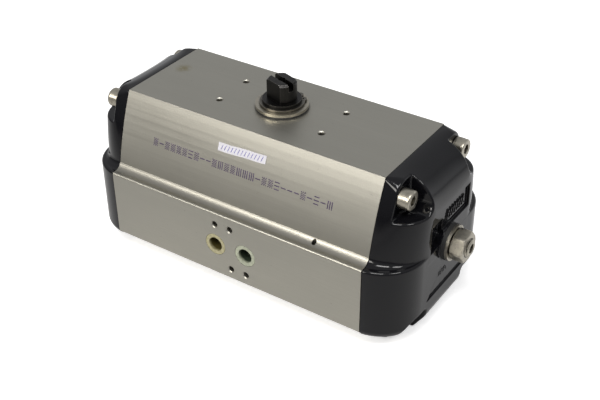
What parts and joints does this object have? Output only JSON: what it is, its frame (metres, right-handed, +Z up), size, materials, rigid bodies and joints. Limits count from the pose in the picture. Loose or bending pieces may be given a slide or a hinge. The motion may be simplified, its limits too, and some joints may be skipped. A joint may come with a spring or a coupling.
{
  "type": "rotary pneumatic actuator",
  "caption": "Double-acting rack-and-pinion rotary pneumatic actuator: extruded body, black end caps with travel stops, slotted drive shaft turning a quarter turn.",
  "frame": {"origin": "centre of the valve mounting face, on the pinion's axis", "axes": "+Z up along the pinion to the slotted shaft end, +X along the body to the right end cap, air ports on the -Y side"},
  "size_m": [0.284, 0.1248, 0.136],
  "materials": {
    "anodised_aluminium": "hard anodised extrusion, fine lines along the body",
    "black_epoxy": "gloss epoxy over die-cast aluminium",
    "nitrile": "smooth black rubber",
    "stainless_steel": "turned and rolled stainless steel",
    "piston_aluminium": "machined casting",
    "acetal": "natural acetal",
    "black_steel": "blackened steel",
    "zinc_plated_steel": "zinc plated",
    "black_acetal": "black acetal",
    "spring_steel": "phosphated spring steel",
    "yellow_plastic": "soft polyethylene",
    "green_plastic": "soft polyethylene",
    "plug_steel": "drilled channel plug"
  },
  "bodies": {
    "housing": {"body": "anodised_aluminium", "end_cap_left": "black_epoxy", "end_cap_right": "black_epoxy", "cap_seal_left": "nitrile", "cap_seal_right": "nitrile", "cap_screws_left": "stainless_steel", "cap_screws_right": "stainless_steel", "stop_seal_left": "nitrile", "stop_seal_right": "nitrile", "stop_washer_left": "stainless_steel", "stop_washer_right": "stainless_steel", "stop_nut_left": "stainless_steel", "stop_nut_right": "stainless_steel", "pinion_upper_bush": "acetal", "pinion_lower_bush": "acetal", "inner_thrust_ring": "acetal", "thrust_ring": "black_acetal", "port_protector_left": "yellow_plastic", "port_protector_right": "green_plastic", "channel_plug": "plug_steel"},
    "pinion": {"pinion": "black_steel", "drive_insert": "zinc_plated_steel", "snap_ring": "spring_steel", "thrust_washer": "stainless_steel", "pinion_upper_oring": "nitrile", "pinion_lower_oring": "nitrile"},
    "piston_left": {"piston_left": "piston_aluminium", "piston_oring_left": "nitrile", "piston_wear_band_left": "acetal", "rack_guide_pad_left": "acetal"},
    "piston_right": {"piston_right": "piston_aluminium", "piston_oring_right": "nitrile", "piston_wear_band_right": "acetal", "rack_guide_pad_right": "acetal"},
    "stop_slide_left": {"stop_oring_left": "nitrile"},
    "stop_slide_right": {"stop_oring_right": "nitrile"},
    "stop_screw_left": {"stop_screw_left": "stainless_steel"},
    "stop_screw_right": {"stop_screw_right": "stainless_steel"}
  },
  "joints": [
    {"name": "pinion_turn", "type": "hinge", "parent": "housing", "child": "pinion", "pos_m": [0, 0, 0.058], "axis": [0, 0, 1], "range_deg": [-72, 18]},
    {"name": "piston_travel_right", "type": "slide", "parent": "housing", "child": "piston_right", "axis": [1, 0, 0], "range_m": [-0.0264, 0.0066]},
    {"name": "piston_travel_left", "type": "slide", "parent": "housing", "child": "piston_left", "axis": [-1, 0, 0], "range_m": [-0.0264, 0.0066]},
    {"name": "stop_travel_right", "type": "slide", "parent": "housing", "child": "stop_slide_right", "axis": [1, 0, 0], "range_m": [-0.00175, 0.00175]},
    {"name": "stop_turn_right", "type": "hinge", "parent": "stop_slide_right", "child": "stop_screw_right", "pos_m": [0.12, 0, 0.058], "axis": [1, 0, 0], "range_deg": [-360, 360]},
    {"name": "stop_travel_left", "type": "slide", "parent": "housing", "child": "stop_slide_left", "axis": [-1, 0, 0], "range_m": [-0.00175, 0.00175]},
    {"name": "stop_turn_left", "type": "hinge", "parent": "stop_slide_left", "child": "stop_screw_left", "pos_m": [-0.12, 0, 0.058], "axis": [-1, 0, 0], "range_deg": [-360, 360]}
  ],
  "couplings": [
    {"joint": "piston_travel_right", "follows": "pinion_turn", "m_per_rad": 0.021},
    {"joint": "piston_travel_left", "follows": "pinion_turn", "m_per_rad": 0.021},
    {"joint": "stop_turn_right", "follows": "stop_travel_right", "rad_per_m": 3590.4},
    {"joint": "stop_turn_left", "follows": "stop_travel_left", "rad_per_m": 3590.4}
  ]
}
